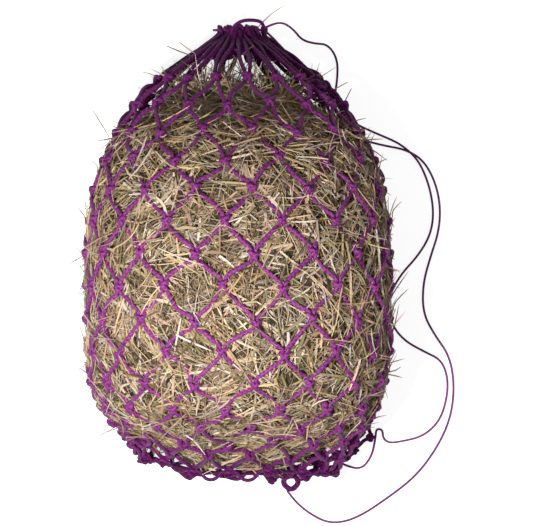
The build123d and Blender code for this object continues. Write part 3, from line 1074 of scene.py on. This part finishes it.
def stalkBodies(name, random, facts, places, smooth):
    # closed three-sided stalks along the given lines, each with its own colour
    count, stations = places.shape[:2]
    heading = np.gradient(places, axis=1)
    heading /= np.linalg.norm(heading, axis=2, keepdims=True)
    flat = name == "hayBlades"
    roll = random.uniform(-0.5, 0.5, (count, 1)) if flat else random.uniform(0, 2 * math.pi, (count, 1))
    lateral = np.cross(heading, smooth)
    lateral /= np.linalg.norm(lateral, axis=2, keepdims=True)
    lift = np.cross(lateral, heading)
    half = random.uniform(*facts["half"], (count, 1)) * mm
    taper = np.interp(np.arange(stations), [0, 1, stations - 2, stations - 1], [0.75, 1, 0.9, 0.35])
    width = half * taper
    thick = width * (0.22 if flat else 1.0)
    rings = []
    for corner in range(3):
        angle = roll + corner * 2 * math.pi / 3
        rings.append(
            places + lateral * (np.cos(angle) * width)[:, :, None]
            + lift * (np.sin(angle) * thick)[:, :, None]
        )
    vertices = np.stack(rings, axis=2)
    vertices[..., 2] = np.maximum(vertices[..., 2], 0.25 * mm + np.arange(3) * 0.05 * mm)
    faces = []
    for s in range(stations - 1):
        for corner in range(3):
            beside = (corner + 1) % 3
            faces.append((s * 3 + corner, s * 3 + beside, (s + 1) * 3 + beside, (s + 1) * 3 + corner))
    quads = (np.arange(count)[:, None, None] * stations * 3 + np.array(faces)[None]).reshape(-1, 4)
    last = (stations - 1) * 3
    ends = np.array([(2, 1, 0), (last, last + 1, last + 2)])
    caps = (np.arange(count)[:, None, None] * stations * 3 + ends[None]).reshape(-1, 3)
    mesh = bpy.data.meshes.new(name)
    mesh.from_pydata(vertices.reshape(-1, 3).tolist(), [], quads.tolist() + caps.tolist())
    colours = straws[random.choice(len(straws), count, p=strawShares)]
    # the layer's dark: painted shade for the deep and middle layers
    colours = colours * random.normal(*strawShade["bright"], (count, 1)) * facts["dark"] * strawShade["tint"]
    colours = colours + random.normal(0, strawShade["uneven"], (count, 3))
    colours = np.maximum(colours, strawShade["darkest"])
    colours /= np.maximum(colours.max(axis=1, keepdims=True) / strawShade["palest"], 1)
    layer = mesh.color_attributes.new("straw", "FLOAT_COLOR", "POINT")
    perVertex = np.ones((count, stations * 3, 4))
    perVertex[..., :3] = colours[:, None, :]
    layer.data.foreach_set("color", perVertex.ravel())
    mesh.update()
    return mesh


for index, (name, facts) in enumerate(stalkLayers.items()):
    mesh = stalkMesh(name, randomFrom(500 + index), facts, stray=name == "hayStrays")
    finishPiece(name, mesh, dryStalk)
    print(name, facts["count"])


# stalks that stand out of the hay at one end of it, in millimetres: they start over "halfWidth" to each
# side, from "floor" up over "height", and lengthways from "from"; "rooted" is the share that is inside
openEnds = {
    "hayNeckStalks": {
        "seed": 901, "count": 620, "half": (0.5, 1.3), "length": (30, 100), "dark": 1.0,
        "across": (-1, 1), "level": (0.12, 1.0), "halfWidth": 88, "floor": 16, "height": 96, "round": 0.8,
        "from": 194, "rise": 0, "spread": 36, "leftLift": 0,
        "aim": (0, 0.75, -0.3), "scatter": (1, 0.5, 0.6), "sag": 5, "rooted": 0.35},
    "hayBaseStalks": {
        "seed": 903, "count": 520, "half": (0.5, 1.4), "length": (22, 60), "dark": 0.85,
        "across": (-1, 0.75), "level": (0.1, 1.0), "halfWidth": 122, "floor": 8, "height": 62, "round": 0.7,
        "from": -252, "rise": 14, "spread": -16, "leftLift": 22,
        "aim": (0, -1.0, 0.35), "scatter": (0.8, 0.5, 0.5), "sag": 4, "rooted": 0.45},
}
looseStalks = {"half": (0.8, 1.2), "dark": 1.0}
loosePlaces = [
    # single stalks that stand out, end to end, in millimetres
    ((26, 312, 22), (44, 330, 27), (65, 343, 30)),
    ((20, 285, 82), (-14, 257, 98), (-48, 227, 112)),
    ((-22, 262, 100), (-12, 228, 122), (2, 196, 150)),
    ((-20, 258, 101), (-11, 225, 123), (0, 200, 148)),
    ((-82, 291, 60), (-70, 282, 66), (-56, 272, 72)),
    ((-98, 286, 50), (-80, 278, 60), (-64, 272, 66)),
    ((-198, 197, 60), (-187, 180, 64), (-175, 160, 70)),
    ((153, 227, 70), (135, 192, 84), (118, 161, 98)),
    ((148, 236, 60), (122, 222, 72), (96, 212, 84)),
    ((190, -158, 80), (215, -163, 72), (222, -165, 66)),
    ((186, -150, 90), (205, -158, 84), (220, -150, 80)),
    ((-192, -246, 24), (-180, -240, 34), (-160, -228, 50)),
    ((-216, -60, 120), (-205, -72, 118), (-190, -88, 122)),
    ((40, 210, 128), (66, 209, 122), (92, 204, 112)),
]


def endHay(name, facts):
    random = randomFrom(facts["seed"])
    count = facts["count"]
    across = random.uniform(*facts["across"], count)
    level = random.uniform(*facts["level"], count)
    lengthways = facts["from"] + level * facts["rise"] + random.uniform(0, 1, count) * facts["spread"]
    lengthways = lengthways + np.maximum(0, -across - 0.4) * facts["leftLift"]
    height = facts["floor"] + level * facts["height"] * np.sqrt(1 - across**2 * facts["round"])
    start = np.stack([across * facts["halfWidth"], lengthways, height], -1)
    aim = random.normal(0, 1, (count, 3)) * facts["scatter"] + facts["aim"]
    aim /= np.linalg.norm(aim, axis=1, keepdims=True)
    length = random.uniform(*facts["length"], (count, 1))
    sag = random.normal(0, facts["sag"], (count, 3))
    shares = np.linspace(0, 1, 5)
    lines = [start + aim * length * (s - facts["rooted"]) + sag * s * (1 - s) * 4 for s in shares]
    lines = np.stack(lines, axis=1) * mm
    lines[:, :, 2] = np.maximum(lines[:, :, 2], 1.5 * mm)
    return stalkBodies(name, random, facts, lines, np.broadcast_to(up, lines.shape))


def standingOut():
    random = randomFrom(902)
    lines = []
    for places in loosePlaces:
        rough = smoothLine(np.array(places) * mm, 4 * mm)
        lines.append(rough[np.linspace(0, len(rough) - 1, 5).round().astype(int)])
    lines = np.array(lines)
    facing = np.broadcast_to(up + [0.1, 0.2, 0], lines.shape)
    return stalkBodies("hayLooseStalks", random, looseStalks, lines, facing)


for name, facts in openEnds.items():
    finishPiece(name, endHay(name, facts), dryStalk)
finishPiece("hayLooseStalks", standingOut(), dryStalk)
print("loose hay placed")

# ---- floor and light
studio = {
    "floor": 6.0, "floorDrop": 0.4 * mm, "floorGlow": 0.8, "dim": 0.0625, "world": 0.2,
    "keyPlace": (-0.32, -0.30, 1.3), "keySize": 0.24, "keyPower": 19,
    "fillPlace": (0.9, 0.4, 2.6), "fillSize": 2.0, "fillPower": 6,
}


def softLight(name, place, size, power, aim=(0, 0, 0.1)):
    light = bpy.data.lights.new(name, "AREA")
    light.shape = "SQUARE"
    light.size = size
    light.energy = power
    lamp = bpy.data.objects.new(name, light)
    lamp.location = place
    lamp.rotation_euler = (Vector(aim) - Vector(place)).to_track_quat("-Z", "Y").to_euler()
    bpy.context.collection.objects.link(lamp)


def studioFloor():
    shader = Shader("paleFloor")
    seen = shader.add("ShaderNodeLightPath")
    glow = shader.mix(seen, (*[studio["dim"]] * 3, 1), (1, 1, 1, 1))  # full where it is seen
    material = shader.finish({
        "Base Color": (0.8, 0.8, 0.8, 1), "Roughness": 0.9, "Specular IOR Level": 0.1,
        "Emission Color": glow, "Emission Strength": studio["floorGlow"],
    })
    deselectAll()
    bpy.ops.mesh.primitive_plane_add(size=studio["floor"], location=(0, 0, -studio["floorDrop"]))
    floor = bpy.context.active_object
    floor.name = "studioFloor"
    floor.data.materials.append(material)


studioFloor()
softLight("keyLight", studio["keyPlace"], studio["keySize"], studio["keyPower"])
softLight("fillLight", studio["fillPlace"], studio["fillSize"], studio["fillPower"])
world = bpy.data.worlds.new("studio")
world.use_nodes = True
sky = world.node_tree
sky.nodes["Background"].inputs["Color"].default_value = (1, 1, 1, 1)
seenBackdrop = sky.nodes.new("ShaderNodeMapRange")  # white where it is seen, dimmer as a light
seenBackdrop.inputs["To Min"].default_value = studio["world"]
seenBackdrop.inputs["To Max"].default_value = 1.0
sky.links.new(sky.nodes.new("ShaderNodeLightPath").outputs["Is Camera Ray"], seenBackdrop.inputs["Value"])
sky.links.new(seenBackdrop.outputs["Result"], sky.nodes["Background"].inputs["Strength"])
bpy.context.scene.world = world
bpy.context.scene.view_settings.view_transform = "Standard"
print("studio lit")
